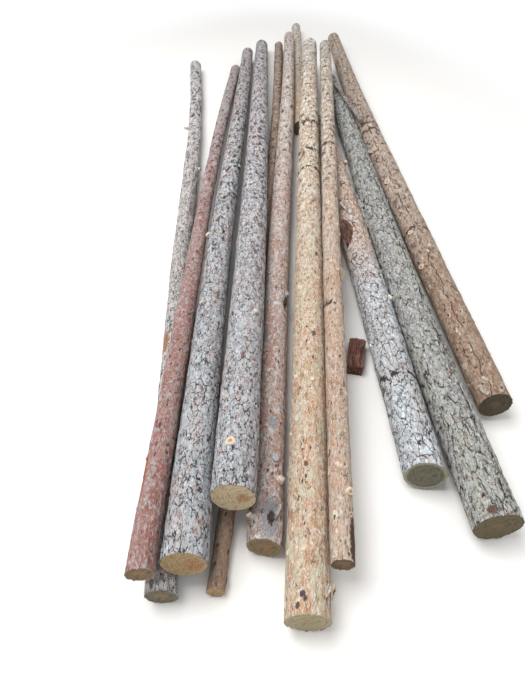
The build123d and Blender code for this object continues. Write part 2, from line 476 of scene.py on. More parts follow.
def flake_shapes():
    """A few curled chips of bark, to be strewn over a log where its skin lifts."""
    shapes = bpy.data.collections.new("flake_shapes")
    bpy.context.scene.collection.children.link(shapes)
    ragged = Random(5)
    for number, (width, length) in enumerate(CHIPS):
        bpy.ops.mesh.primitive_grid_add(x_subdivisions=2, y_subdivisions=3, size=1)
        flake = bpy.context.object
        flake.name = f"flake_{number}"
        co = places(flake.data)
        co[:, 0] *= width * (1 - 0.5 * np.abs(co[:, 1]))
        co[:, 1] *= length
        co[:, :2] += [[ragged.uniform(-0.002, 0.002), ragged.uniform(-0.002, 0.002)] for _ in co]
        co[:, 2] = 0.0002 + 0.1 * (co[:, 1] + length / 2) ** 2 / length + 8 * co[:, 0] ** 2
        put(flake.data, co)
        thicken(flake, CHIP_SKIN, -1)
        for other in flake.users_collection:
            other.objects.unlink(flake)
        shapes.objects.link(flake)


def bark_flap(sections, along, turn, length, width, lift, swerve=0, holes=()):
    """A loose strip of bark, in millimetres and degrees, that curls off the skin at its far end."""
    bpy.ops.mesh.primitive_grid_add(x_subdivisions=4, y_subdivisions=6, size=1)
    flap = bpy.context.object
    edit(lambda: bpy.ops.mesh.select_all(action="DESELECT"))
    for hole in holes:
        flap.data.polygons[hole].select = True
    bpy.ops.object.mode_set(mode="EDIT")
    bpy.ops.mesh.delete(type="FACE")
    bpy.ops.object.mode_set(mode="OBJECT")
    edit(bpy.ops.mesh.subdivide)
    ragged = Random(along)
    co = places(flap.data)
    share = co[:, 1] + 0.5
    across = co[:, 0] * width / 1000 * (1 - 0.5 * np.abs(co[:, 1] * 2) ** 3)
    down = co[:, 1] * length / 1000
    across += [ragged.uniform(-0.03, 0.03) * width / 1000 for _ in co]
    down += [ragged.uniform(-0.02, 0.02) * length / 1000 for _ in co]
    y = sections[0, 0] + along / 1000
    radius = radius_at(sections, y)
    swing = radians(swerve)
    angle = radians(turn) + (across * cos(swing) - down * sin(swing)) / radius
    out = radius + 0.0012 + lift / 1000 * (share ** 2 + 6 * (across * 1000 / width) ** 2 * share)
    y = y + across * sin(swing) + down * cos(swing)
    put(flap.data, np.c_[out * np.sin(angle), y, out * np.cos(angle)])
    thicken(flap, FLAP_SKIN, 0)
    for name, value in (("bark_here", 0.0), ("share_out", 2.0), ("flake", 0.6)):
        note(flap.data, name, np.full(len(flap.data.vertices), value))
    return flap


def fray_rim(log, near, reach):
    """Pull the bark's edge at the saw cut out into ragged fibres."""
    co = places(log.data)
    outward = np.hypot(co[:, 0], co[:, 2])
    at_end = co[:, 1] < near + HAIR
    rim = at_end & (outward > outward[at_end].max() - BARK / 2)
    draw = np.random.default_rng(len(co))
    co[rim, 1] -= draw.uniform(0, 1, rim.sum()) ** 2 * reach
    grown = 1 + draw.uniform(-0.02, 0.02, rim.sum())
    co[rim, 0] *= grown
    co[rim, 2] *= grown
    put(log.data, co)


def strew_chips(recipe, skin, density, seed, bark):
    """Loose chips of bark on a skin: copies of the flake shapes that point roughly along the log."""
    strewn = {"Mesh": skin, "Density": density, "Seed": seed}
    spots = recipe.node("GeometryNodeDistributePointsOnFaces", {}, strewn)
    normal = Value(recipe, spots.socket.node.outputs["Normal"])
    upright = recipe.node("FunctionNodeAlignRotationToVector", {"axis": "Z"}, {"Vector": normal})
    swerve = {0: (-0.6, 0.7, -0.6), 1: (0.6, 1.0, 0.6), "Seed": 3}
    swerve = recipe.node("FunctionNodeRandomValue", {"data_type": "FLOAT_VECTOR"}, swerve)
    turn = recipe.node("FunctionNodeAlignRotationToVector", {"axis": "Y", "pivot_axis": "Z"},
                       {"Rotation": upright, "Vector": swerve})
    size = {2: SMALLEST_CHIP, 3: LARGEST_CHIP, "Seed": 4}
    size = recipe.node("FunctionNodeRandomValue", {"data_type": "FLOAT"}, size, 1)
    shapes = bpy.data.collections["flake_shapes"]
    chips = recipe.node("GeometryNodeCollectionInfo", {}, {
        "Collection": shapes, "Separate Children": True, "Reset Children": True})
    chips = recipe.node("GeometryNodeInstanceOnPoints", {}, {
        "Points": spots, "Instance": chips, "Pick Instance": True, "Rotation": turn, "Scale": size})
    chips = recipe.node("GeometryNodeRealizeInstances", {}, {"Geometry": chips})
    chips = recipe.node("GeometryNodeSetMaterial", {}, {"Geometry": chips, "Material": bark})
    return recipe.store(recipe.store(chips, "flake", 1.0), "share_out", 2.0)


def press_relief(log, look, offset, near, far):
    """Press the cracks into the bark, strew chips over it, and note each vertex's place in the log."""
    tree = bpy.data.node_groups.new(log.name + "_relief", "GeometryNodeTree")
    for way in ("INPUT", "OUTPUT"):
        tree.interface.new_socket("Geometry", in_out=way, socket_type="NodeSocketGeometry")
    recipe = Recipe(tree)
    entry = recipe.node("NodeGroupInput", {}, {})
    here = recipe.node("GeometryNodeInputPosition", {}, {})
    place = recipe.vector("ADD", here, (0, offset, 0))
    bark = recipe.node("GeometryNodeInputNamedAttribute", {"data_type": "FLOAT"}, {"Name": "bark_here"})
    furrow = recipe.furrows(place, look, 2.2) + recipe.seam(place, look.splits) * 1.5
    sheet = recipe.noise(place, look.sheet, 4).past(look.sheet_level, 0.03)
    uneven = recipe.noise(place, (0.09, 0.3)) - 0.35
    lumps = recipe.noise(place, (0.03, 0.06), 1) - 0.35
    sunk = furrow * look.depth + (1 - sheet) * look.sheet_depth + uneven * UNEVEN + lumps * look.lumps
    radial = recipe.vector("NORMALIZE", recipe.vector("MULTIPLY", here, (1, 0, 1)), (0, 0, 0))
    inward = {0: radial, "Scale": sunk * bark * -1}
    inward = recipe.node("ShaderNodeVectorMath", {"operation": "SCALE"}, inward)
    skin = recipe.node("GeometryNodeSetPosition", {}, {"Geometry": entry, "Offset": inward})
    upward = recipe.axis(radial, "Z").step(-0.5, -0.2)
    crowd = recipe.noise(place, (0.05, 0.15)).step(0.42, 0.6) * 0.8 + 0.2
    density = bark * upward * crowd * look.flakes
    chips = strew_chips(recipe, skin, density, int(offset), log.data.materials[0])
    whole = recipe.node("GeometryNodeJoinGeometry", {}, {0: chips})
    tree.links.new(skin.socket, whole.socket.node.inputs[0])
    whole = recipe.store(whole, "grain", place, "FLOAT_VECTOR")
    whole = recipe.store(whole, "along", (recipe.axis(here, "Y") - near) / (far - near))
    recipe.close("NodeGroupOutput", whole)
    modifier = log.modifiers.new("relief", "NODES")
    modifier.node_group = tree
    pick(log)
    bpy.ops.object.modifier_apply(modifier="relief")


def hollow_out(log, sections, scar):
    """Sink a torn scar into the skin, deepest along its middle."""
    along, turn, length, width, depth = scar
    co = places(log.data)
    y = sections[0, 0] + along / 1000
    radius = radius_at(sections, y)
    outward = np.hypot(co[:, 0], co[:, 2])
    across = turned_away(co, radians(turn)) * radius / (width / 2000)
    down = (co[:, 1] - y) / (length / 2000)
    reach = np.abs(across) ** 1.6 + np.abs(down) ** 1.6
    lip = 0.003 * np.exp(-((reach - 1.2) / 0.25) ** 2)
    sunk = depth / 1000 * np.clip(1 - reach ** 1.3, 0, 1) ** 0.6 - lip
    sunk[outward < radius * 0.9] = 0
    push_out(log.data, co, outward, -sunk)
    note(log.data, "torn", np.clip(1.35 - reach, 0, 2) * (outward > radius * 0.7))


def bend(log, sections, slopes):
    """Move the straight log on to the crooked line of the CAD log, and tilt its near saw cut."""
    co = places(log.data)
    y = co[:, 1]
    left = np.clip(1 - (y - sections[0, 0]) / 0.25, 0, 1)
    x = np.interp(y, sections[:, 0], sections[:, 1])
    z = np.interp(y, sections[:, 0], sections[:, 2])
    tilt = (co[:, 0] * slopes[0] + co[:, 2] * slopes[1]) * left
    put(log.data, np.c_[co[:, 0] + x, y + tilt, co[:, 2] + z])


def furrowed_paint(name, look):
    """Thick bark: weathered scales in greys and pinks, with thin cracks that come and go, painted dark as
    the shade inside them.
    """
    material, recipe = new_material(name)
    place = recipe.attribute("grain", 1)
    along, torn, flake = (recipe.attribute(noted) for noted in ("along", "torn", "flake"))
    wavering = recipe.warp(place, (0.008, 0.016), 0.008)
    furrow = recipe.furrows(place, look)
    scale = recipe.lottery(wavering, look.scale)
    # Painted shadow: dark arcs along part of each scale's edge, where its lifted rim throws a shadow.
    scale_edge_shadow = recipe.cells(wavering, look.scale, "DISTANCE_TO_EDGE").step(0.11, 0.02)
    scale_edge_shadow = scale_edge_shadow * recipe.noise(place, (0.016, 0.03)).step(0.46, 0.58)
    dash = recipe.lines(wavering, (0.02, 0.036), 0.022)
    dash = dash * recipe.noise(place, (0.009, 0.022), 1).step(0.5, 0.58)
    upper = along.step(*look.marks)
    stain = recipe.noise(wavering, (0.024, 0.06))
    blotch = recipe.noise(wavering, look.blotch)
    blotch = blotch.past(look.blotch_from, 0.05)
    blotch = blotch + stain.step(0.61, 0.625) * upper
    rough = recipe.warp(place, (0.02, 0.04), 0.03)
    # Painted shade: a network of dark crevices over the far part of the log, darkened as the shade inside
    # them.
    crevice_shade = recipe.cells(rough, (0.038, 0.062), "DISTANCE_TO_EDGE").step(0.13, 0.05)
    crevice_shade = crevice_shade * recipe.noise(place, (0.03, 0.06), 1).step(0.53, 0.59) * upper
    zone = recipe.noise(rough, (0.05, 0.13), 3)
    speck = recipe.lottery(recipe.warp(place, (0.004, 0.008), 0.004), (0.0045, 0.008))
    broad = recipe.noise(place, (0.09, 0.4), 3)
    pink = recipe.noise(place, (0.02, 0.045), 4)
    grain = recipe.noise(place, (0.0035, 0.007), 3)
    grit = recipe.noise(place, (0.01, 0.018))
    tip = along.past(look.far_from, look.far_over) * look.far_share
    colour = recipe.layers(
        look.dark,
        (scale.step(0.0, 1.0), look.base),
        (broad.step(0.44, 0.6) * look.second_share, look.second),
        (tip * (pink.step(0.4, 0.6) * 0.4 + 0.6), look.far),
        (zone.step(0.5, 0.55) * upper * look.zone_share, look.far),
        (zone.step(0.44, 0.38) * upper * 0.3, look.dark),
        (pink.step(0.52, 0.62) * look.pink_share, look.pink),
        (grain.step(0.48, 0.7) * 0.36, look.pale),
        (grain.step(0.46, 0.3) * 0.3, look.dark),
        (stain.step(0.44, 0.4) * upper * 0.5, look.pale),
        (grit.step(0.52, 0.6) * (upper * 0.45 + look.grit), look.pale),
        (grit.step(0.44, 0.36) * (upper * 0.4 + look.grit), look.deep))
    colour = recipe.layers(
        recipe.vector("MULTIPLY", colour, look.tint),
        (speck.step(0.95, 0.97) * look.pale_share, look.pale),
        (speck.step(0.07, 0.04) * 0.7, look.deep),
        (flake * (scale * 0.4 + 0.3), look.pale))
    # Painted shade in the furrows, crevices, splits and whorl cracks and under the scale edges, with the
    # bark's own dark dashes and blotches.
    shade_and_marks = scale_edge_shadow * (0.55 - upper * 0.15) + dash * 0.75 + furrow * 0.95
    shade_and_marks = shade_and_marks + blotch * look.blotch_share + crevice_shade * 0.8
    shade_and_marks = shade_and_marks + recipe.whorl_cracks(place, look.whorls) + recipe.seam(place, look.splits)
    fibre = recipe.noise(place, (0.005, 0.06), 3).step(0.35, 0.65)
    ragged = torn + (pink - 0.5) * 0.8
    colour = recipe.layers(
        recipe.mark_bark(colour, place, look, shade_and_marks, grain),
        (ragged.step(0.08, 0.18), recipe.mix(fibre, (0.08, 0.032, 0.026), (0.27, 0.13, 0.1))),
        (ragged.step(0.6, 0.95), recipe.mix(fibre, (0.04, 0.024, 0.018), (0.17, 0.11, 0.075))))
    height = (1 - furrow) * 0.002 + (1 - scale_edge_shadow) * 0.0007 + (1 - dash) * 0.0012 + scale * 0.0009
    height = height + grain * 0.001 + (1 - blotch) * 0.0012
    recipe.finish(colour, 0.96 - scale * 0.14, height, 0.75)
    return material


def flaky_paint(name, look):
    """Thin bark of the upper trunk: papery flakes over an orange skin, with dark flecks, and slits
    painted dark as the shade inside them.
    """
    material, recipe = new_material(name)
    place = recipe.attribute("grain", 1)
    along, flake = recipe.attribute("along"), recipe.attribute("flake")
    wavering = recipe.warp(place, (0.008, 0.02), 0.008)
    paper = recipe.noise(place, look.sheet, 4)
    sheet = paper.past(look.sheet_level, look.sheet_edge)
    curl = sheet * paper.step(look.sheet_level + 0.045, look.sheet_level + 0.02)
    tint = recipe.lottery(wavering, (0.01, 0.02))
    broad = recipe.noise(place, (0.05, 0.22), 3)
    streak = recipe.noise(place, (0.012, 0.05), 4)
    pink = recipe.noise(place, (0.015, 0.038), 4)
    grain = recipe.noise(place, (0.003, 0.01), 3)
    grit = recipe.noise(place, (0.01, 0.018))
    slit = recipe.lines(wavering, (0.012, 0.07), 0.02)
    slit = slit * recipe.noise(place, (0.01, 0.028), 1).past(look.slit_from, 0.05)
    fleck = recipe.lottery(wavering, look.fleck)
    fleck = fleck.past(look.fleck_share, -0.01)
    from_middle = recipe.cells(wavering, look.fleck) + recipe.noise(place, (0.005, 0.012))
    fleck = fleck * from_middle.step(0.86, 0.74)
    upper = along.step(*look.marks)
    stain = recipe.noise(wavering, (0.022, 0.05))
    fleck = fleck + stain.step(0.595, 0.615) * upper
    zone = recipe.noise(wavering, (0.045, 0.13), 3).step(0.5, 0.55) * upper
    furrow = recipe.furrows(place, look)
    tip = along.past(look.far_from, 0.2) * look.far_share
    colour = recipe.layers(
        look.skin,
        (streak.step(0.38, 0.62), look.base),
        (broad.step(0.4, 0.6) * look.second_share, look.second),
        (pink.step(0.46, 0.62) * look.pink_share, look.pink),
        (tint.step(0.6, 0.95) * 0.65, look.skin),
        (tip * tint.step(0.1, 0.5), look.far),
        (zone * look.zone_share, look.far),
        (sheet * look.sheet_share, look.paper),
        (streak.step(0.6, 0.7) * look.streak_share, look.streak),
        (grain.step(0.5, 0.7) * 0.6, look.pale),
        (grain.step(0.45, 0.3) * 0.6, look.streak),
        (curl * 0.25, look.pale),
        (stain.step(0.43, 0.39) * upper * 0.8, look.pale),
        (grit.step(0.52, 0.6) * (upper * 0.4 + look.grit), look.pale),
        (grit.step(0.44, 0.36) * (upper * 0.25 + look.grit), look.streak))
    colour = recipe.vector("MULTIPLY", colour, look.tint)
    colour = recipe.mix(flake * (tint * 0.6 + 0.2), colour, look.pale)
    # Painted shade in the slits, furrows, splits and whorl cracks, with the bark's own dark flecks.
    shade_and_marks = slit * 0.75 + fleck * 0.9 + furrow * look.furrow_share
    shade_and_marks = shade_and_marks + recipe.whorl_cracks(place, look.whorls) + recipe.seam(place, look.splits) * 0.9
    colour = recipe.mark_bark(colour, place, look, shade_and_marks, grain)
    height = sheet * 0.001 + (1 - slit) * 0.001 + (1 - fleck) * 0.0012 + grain * 0.0009
    height = height + (1 - furrow) * 0.001 + streak * 0.0015 + tint * 0.0005
    recipe.finish(colour, 0.88 - sheet * 0.15, height, 0.9)
    return material


def sawn_paint(name, look):
    """A sawn end: rings and rays round the pith, a stained heart, a ragged bark rim and saw marks."""
    material, recipe = new_material(name)
    share = recipe.attribute("share_out")
    flat = recipe.vector("MULTIPLY", recipe.attribute("grain", 1), (1, 0, 1))
    flat = recipe.vector("SUBTRACT", flat, (look.heart_at[0], 0, look.heart_at[1]))
    wavering = recipe.warp(flat, (0.03, 0.03), 0.008)
    from_heart = recipe.vector("LENGTH", wavering, (0, 0, 0), 1)
    spokes = recipe.node("ShaderNodeCombineXYZ", {}, {0: recipe.turn(wavering) * 0.035, 1: from_heart})
    ray = recipe.noise(spokes, (0.004, 0.05), 3)
    rings = (from_heart * (2 * pi / look.ring)).math("SINE") * 0.5 + 0.5
    ring_tone = recipe.noise(recipe.node("ShaderNodeCombineXYZ", {}, {0: from_heart}), (0.005, 0.05))
    mottle = recipe.noise(flat, (0.016, 0.016), 4)
    speckle = recipe.noise(flat, (0.004, 0.004), 3)
    saw = recipe.noise(recipe.vector("MULTIPLY", flat, (1, 1, 0.25)), (0.005, 0.05), 3.0)
    heart = from_heart.step(look.heart * 1.35, look.heart * 0.65)
    outer = share + (mottle - 0.5) * 0.3
    edge = share + (mottle - 0.5) * 0.05
    frayed = edge.past(look.rim_from + 0.01, 0.02) * speckle.step(0.44, 0.54)
    colour = recipe.layers(
        look.late,
        (rings * 0.5 + ring_tone.step(0.4, 0.6) * 0.5, look.early),
        (heart * look.heart_share, look.heart_colour),
        (mottle.step(0.5, 0.66) * look.stain_share, look.stain),
        (ray.step(0.56, 0.68) * 0.45, look.stain),
        (saw.step(0.5, 0.62) * 0.45, look.early),
        (speckle.step(0.55, 0.7) * 0.6, recipe.vector("MULTIPLY", look.early, (1.5, 1.55, 1.7))),
        (speckle.step(0.44, 0.32) * 0.6, look.stain),
        (outer.step(0.8, 0.88) * look.sap_share, look.sap),
        (edge.past(look.rim_from, 0.02), look.rim),
        (frayed * look.fray_share, look.fray))
    height = rings * 0.0004 + saw * 0.0012 + mottle * 0.001 + ray * 0.001 + speckle * 0.0008
    recipe.finish(colour, 0.92 - rings * 0.1, height, 0.8)
    return material


def branch_paint(name):
    """The cut face of a branch stub: pale wood with a dark core."""
    material, recipe = new_material(name)
    pale, core = (0.78, 0.7, 0.56), (0.34, 0.2, 0.12)
    share = recipe.attribute("share_out")
    mottle = recipe.noise(recipe.attribute("grain", 1), (0.004, 0.004), 3.0)
    rings = (share * 28.0).math("SINE") * 0.5 + 0.5
    ringed = rings * 0.4 + mottle * 0.4
    colour = recipe.layers(pale, (ringed, core), (share.step(0.65, 0.35) * 0.9, core))
    recipe.finish(colour, 0.8, mottle * 0.0008, 0.5)
    return material


# Deep is the near-black of the painted shade in the cracks and also of the bark's own darkest marks.
FURROWED = dict(
    paint=furrowed_paint, plate=(0.02, 0.044), waver=0.016, scale=(0.009, 0.017), crack=0.07, shut=0.42,
    depth=0.0016, sheet=(0.03, 0.07), sheet_level=0.48, sheet_depth=0.0008, lumps=0.006, flakes=160,
    splits=(), tint=(1.0, 1.0, 1.0), blotch=(0.016, 0.045), blotch_from=0.66, blotch_share=0.8,
    base=(0.42, 0.43, 0.45), dark=(0.28, 0.275, 0.275), deep=(0.03, 0.024, 0.02),
    second=(0.36, 0.31, 0.29), second_share=0.5, pink=(0.44, 0.32, 0.29), pink_share=0.55,
    far=(0.46, 0.33, 0.28), far_from=0.6, far_over=0.3, far_share=0.5, pale=(0.66, 0.67, 0.7),
    pale_share=0.7, marks=(0.1, 0.5), zone_share=0.6, grit=0.05, fray=0.0015)
FLAKY = dict(
    paint=flaky_paint, plate=(0.03, 0.08), waver=0.018, crack=0.025, shut=0.56, furrow_share=0.8,
    depth=0.0012, sheet=(0.01, 0.045), sheet_level=0.55, sheet_depth=0.0006, sheet_share=0.5,
    sheet_edge=0.05, lumps=0.005, flakes=300, splits=(), tint=(0.97, 1.09, 1.25), fleck=(0.012, 0.026),
    fleck_share=0.1, slit_from=0.5, marks=(0.2, 0.65), zone_share=0.4, grit=0.1, skin=(0.42, 0.22, 0.11),
    base=(0.52, 0.37, 0.22), second=(0.44, 0.4, 0.25), second_share=0.7, pink=(0.46, 0.26, 0.16),
    pink_share=0.5, paper=(0.56, 0.49, 0.4), streak=(0.3, 0.16, 0.09), streak_share=0.5,
    deep=(0.06, 0.038, 0.028), far=(0.36, 0.34, 0.33), far_from=0.75, far_share=0.6,
    pale=(0.7, 0.62, 0.5), fray=0.004)
SAWN = dict(
    ring=0.0075, heart=0.02, heart_at=(0.0, 0.0), early=(0.46, 0.35, 0.2), late=(0.26, 0.18, 0.095),
    heart_colour=(0.34, 0.17, 0.08), heart_share=0.5, stain=(0.14, 0.1, 0.055), stain_share=0.7,
    sap=(0.5, 0.43, 0.28), sap_share=0.2, rim=(0.06, 0.04, 0.028), rim_from=0.945,
    fray=(0.55, 0.48, 0.36), fray_share=0.2)
WHORL_CRACK = 0.01  # width of the cracks at a whorl near the camera
WHORL_WIDENS = 5e-6  # and more per millimetre from there
flake_shapes()


def grow_log(node, look, sawn, knots=(), whorls=(), spots=(), flaps=(), scar=None,
             top_is_far=True, coarse=1.0, seed=1):
    """One log from its CAD node: skin, stubs, scar, relief, flakes, bend and materials.

    Knots, whorls, spots, flaps and the scar have their places in millimetres from the near end and
    in degrees from the top, and then their sizes in millimetres."""
    sections, slopes = sections_of(node)
    near, far = sections[0, 0], sections[-1, 0]
    offset = seed * 31.0
    placed = []
    for along, turn, length, width, wood in spots:
        y = near + along / 1000
        reach_round = width / 2000 / radius_at(sections, y)
        placed.append(((offset + y, radians(turn), length / 2000, reach_round), wood))
    rings = [(offset + near + along / 1000, WHORL_CRACK + along * WHORL_WIDENS) for along in whorls]
    look = SimpleNamespace(**look, whorls=rings, spots=placed)
    log = straight_log(node + "_bark", sections, coarse)
    fray_rim(log, near, look.fray)
    stubs = [branch_stub(log, sections, knot, top_is_far) for knot in knots]
    stubs += [bark_flap(sections, *flap) for flap in flaps]
    materials = (look.paint(node + "_bark", look),
                 sawn_paint(node + "_sawn_end", SimpleNamespace(**sawn)),
                 branch_paint(node + "_branch_cut"))
    for piece in [log] + stubs:
        for material in materials:
            piece.data.materials.append(material)
    if stubs:
        pick(log, *stubs)
        bpy.ops.object.join()
    press_relief(log, look, offset, near, far)
    if scar:
        hollow_out(log, sections, scar)
    bend(log, sections, slopes)
    pick(log)
    bpy.ops.object.shade_smooth_by_angle(angle=radians(50))
    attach(log, "root")
    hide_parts(node)


grow_log(
    "outer_left_log",
    dict(FURROWED, plate=(0.014, 0.034), blotch_from=0.62, base=(0.4, 0.39, 0.37), dark=(0.22, 0.21, 0.2),
         second=(0.42, 0.35, 0.3), far=(0.62, 0.54, 0.51), far_from=0.4, tint=(1.12, 1.15, 1.18),
         blotch_share=0.5, marks=(0.2, 0.9)),
    dict(SAWN, early=(0.2, 0.18, 0.125), late=(0.1, 0.09, 0.065), stain=(0.05, 0.045, 0.035),
         sap_share=0.0),
    knots=[(3290, -72, 18, 30), (2640, 74, 18, 16)],
    spots=[(1025, -44, 130, 34, (0.52, 0.24, 0.12)), (975, -70, 110, 30, (0.46, 0.21, 0.11))],
    top_is_far=False, seed=1)
grow_log(
    "thin_bottom_log",
    # Its bark colours are set darker throughout than the other orange logs: partly its own darker brown,
    # partly painted shade for the shadow it lies in beneath the heap.
    dict(FLAKY, skin=(0.24, 0.12, 0.06), base=(0.3, 0.18, 0.11), paper=(0.34, 0.25, 0.18), flakes=80,
         second=(0.24, 0.17, 0.11), pink=(0.26, 0.13, 0.08), pale=(0.45, 0.37, 0.29),
         far=(0.3, 0.2, 0.15)), SAWN, coarse=1.8, seed=2)
grow_log(
    "buried_log",
    dict(FLAKY, flakes=60),
    # Its sawn end is painted dark brown: painted shade for the gap under the heap where it lies.
    dict(SAWN, early=(0.22, 0.15, 0.09), late=(0.13, 0.09, 0.055), heart_share=0.1,
         stain=(0.08, 0.055, 0.035), sap_share=0.0, fray_share=0.0), coarse=2.0, seed=3)


# The right-hand logs
# Three thick logs that fan out to the right: a pale grey one with a torn scar, the deeply furrowed
# one rolled against it, and an orange one against that.

grow_log(
    "scarred_log",
    dict(FURROWED, plate=(0.03, 0.056), crack=0.055, shut=0.34, depth=0.0022, scale=(0.01, 0.018),
         tint=(1.03, 1.09, 1.11), blotch_share=0.5, marks=(0.4, 1.4), base=(0.52, 0.53, 0.55),
         dark=(0.34, 0.34, 0.35), far=(0.52, 0.31, 0.19), far_from=0.28, far_over=0.25, far_share=1.0,
         pale=(0.74, 0.75, 0.78), pink_share=0.4),
    dict(SAWN, early=(0.21, 0.195, 0.145), late=(0.09, 0.084, 0.062), heart_colour=(0.2, 0.145, 0.1),
         heart=0.016, heart_share=0.7, stain=(0.065, 0.06, 0.052), sap=(0.36, 0.35, 0.24), sap_share=0.8,
         rim_from=0.965),
    knots=[(2260, 62, 22, 16), (880, 48, 24, 9)],
    scar=(1430, -45, 200, 60, 13),
    spots=[(1330, -60, 50, 26, (0.03, 0.02, 0.016))],
    flaps=[(1640, -22, 100, 26, 14, 12), (1545, -14, 130, 18, 9, -4), (1500, -74, 120, 18, 8, 5)],
    whorls=(407,), seed=4)
grow_log(
    "furrowed_log",
    dict(FURROWED, plate=(0.024, 0.085), depth=0.0035, crack=0.075, base=(0.4, 0.39, 0.37),
         dark=(0.2, 0.19, 0.17), second=(0.34, 0.33, 0.27), second_share=0.8, lumps=0.009, flakes=220,
         splits=(26, 58), tint=(0.98, 1.02, 1.05), pink_share=0.3, marks=(0.2, 1.1), far=(0.4, 0.4, 0.35),
         grit=0.2, zone_share=0.3, blotch_share=0.5, pale=(0.58, 0.59, 0.59)),
    dict(SAWN, early=(0.17, 0.14, 0.08), late=(0.085, 0.068, 0.038), heart_share=0.2,
         stain=(0.055, 0.046, 0.028), sap_share=0.0),
    spots=[(22, -24, 32, 34, (0.19, 0.11, 0.09))],
    flaps=[(1890, -62, 270, 62, 16, 3, (5, 9, 14)), (1760, -74, 120, 34, 14, -8),
           (2010, -50, 90, 30, 10, 15)], seed=5)
grow_log(
    "outer_right_log",
    dict(FLAKY, skin=(0.36, 0.19, 0.11), base=(0.42, 0.29, 0.2), paper=(0.46, 0.41, 0.36),
         fleck_share=0.18, tint=(0.66, 0.63, 0.62), marks=(-0.4, 0.7), zone_share=0.3, slit_from=0.44,
         splits=(-22,), sheet_share=0.3, far=(0.74, 0.66, 0.58), far_from=0.12, far_share=0.7, grit=0.3,
         second=(0.36, 0.3, 0.22), pale=(0.7, 0.64, 0.56)),
    # Its sawn end is painted very dark: painted shade for the overhanging face, which lies in shadow.
    dict(SAWN, early=(0.11, 0.09, 0.06), late=(0.055, 0.043, 0.03), heart_share=0.2,
         stain=(0.035, 0.028, 0.02), sap_share=0.0, fray_share=0.8),
    knots=[(1660, -46, 30, 14), (2090, -38, 26, 24), (830, -62, 24, 10), (1110, -47, 26, 6)],
    whorls=(2540, 2420, 1140),
    flaps=[(2110, -58, 60, 26, 16, 25), (30, -40, 50, 24, 8, 10), (26, 10, 46, 20, 7, -12)],
    top_is_far=False, seed=6)


# The red log and the left grey log
# They lie on the outer pole: a thin red-brown log, and a thick furrowed one whose bark is grey.

grow_log(
    "red_log",
    dict(FLAKY, skin=(0.22, 0.088, 0.068), base=(0.32, 0.16, 0.125), second=(0.32, 0.22, 0.19),
         paper=(0.37, 0.32, 0.32), sheet_level=0.54, sheet=(0.012, 0.019), sheet_share=0.7,
         sheet_edge=0.04, pink=(0.26, 0.085, 0.06), streak=(0.13, 0.055, 0.04), tint=(0.98, 1.05, 1.1),
         pale=(0.46, 0.38, 0.36), far=(0.34, 0.31, 0.3), far_from=0.55, far_share=0.85, fleck_share=0.16),
    dict(SAWN, early=(0.24, 0.18, 0.105), late=(0.13, 0.09, 0.05), stain=(0.065, 0.045, 0.025),
         fray_share=0.9, fray=(0.75, 0.7, 0.58)),
    spots=[(300, -58, 170, 18, (0.46, 0.16, 0.07))], seed=7)
grow_log(
    "left_grey_log",
    dict(FURROWED, base=(0.39, 0.41, 0.43), dark=(0.26, 0.268, 0.28), far=(0.42, 0.3, 0.25),
         pale=(0.58, 0.6, 0.64), zone_share=0.7, tint=(1.03, 1.05, 1.06)),
    dict(SAWN, early=(0.44, 0.32, 0.18), late=(0.24, 0.15, 0.07), heart_at=(0.028, -0.004), heart=0.026,
         heart_share=0.7, heart_colour=(0.32, 0.13, 0.05)),
    knots=[(1670, -62, 24, 14), (2450, 58, 22, 9), (1100, -36, 22, 8)], seed=8)


# The stubbed log and the two orange logs
# The middle of the heap: a pinkish log with grey flakes and trimmed branches, the long orange log that
# reaches furthest forward, and a slim one that leans on its right side.

grow_log(
    "stubbed_log",
    dict(FLAKY, skin=(0.27, 0.14, 0.1), base=(0.32, 0.21, 0.165), second=(0.34, 0.29, 0.26),
         paper=(0.46, 0.45, 0.46), sheet_level=0.54, sheet=(0.013, 0.021), sheet_share=0.75,
         sheet_edge=0.04, pink=(0.33, 0.15, 0.11), far=(0.5, 0.41, 0.33), tint=(1.12, 1.17, 1.2),
         flakes=420, far_from=0.4, streak=(0.16, 0.09, 0.065), pale=(0.57, 0.52, 0.48), fleck_share=0.16),
    dict(SAWN, early=(0.3, 0.22, 0.13), late=(0.15, 0.11, 0.06), stain=(0.09, 0.065, 0.035),
         fray_share=0.8, fray=(0.7, 0.64, 0.52)),
    knots=[(80, -56, 18, 12), (209, 46, 22, 12)],
    spots=[(50, 16, 130, 56, (0.72, 0.71, 0.73)), (72, 14, 140, 56, (0.44, 0.44, 0.48)),
           (67, 16, 46, 24, (0.05, 0.04, 0.04)), (883, -39, 90, 40, (0.46, 0.44, 0.44)),
           (1094, 46, 90, 22, (0.04, 0.03, 0.025)), (281, 23, 44, 30, (0.78, 0.78, 0.8)),
           (307, -30, 40, 22, (0.74, 0.73, 0.73)), (430, 12, 60, 34, (0.5, 0.51, 0.56))],
    flaps=[(90, 28, 60, 20, 6, -20), (283, 23, 26, 24, 3, 35), (1120, 40, 70, 26, 12, 12)], seed=9)
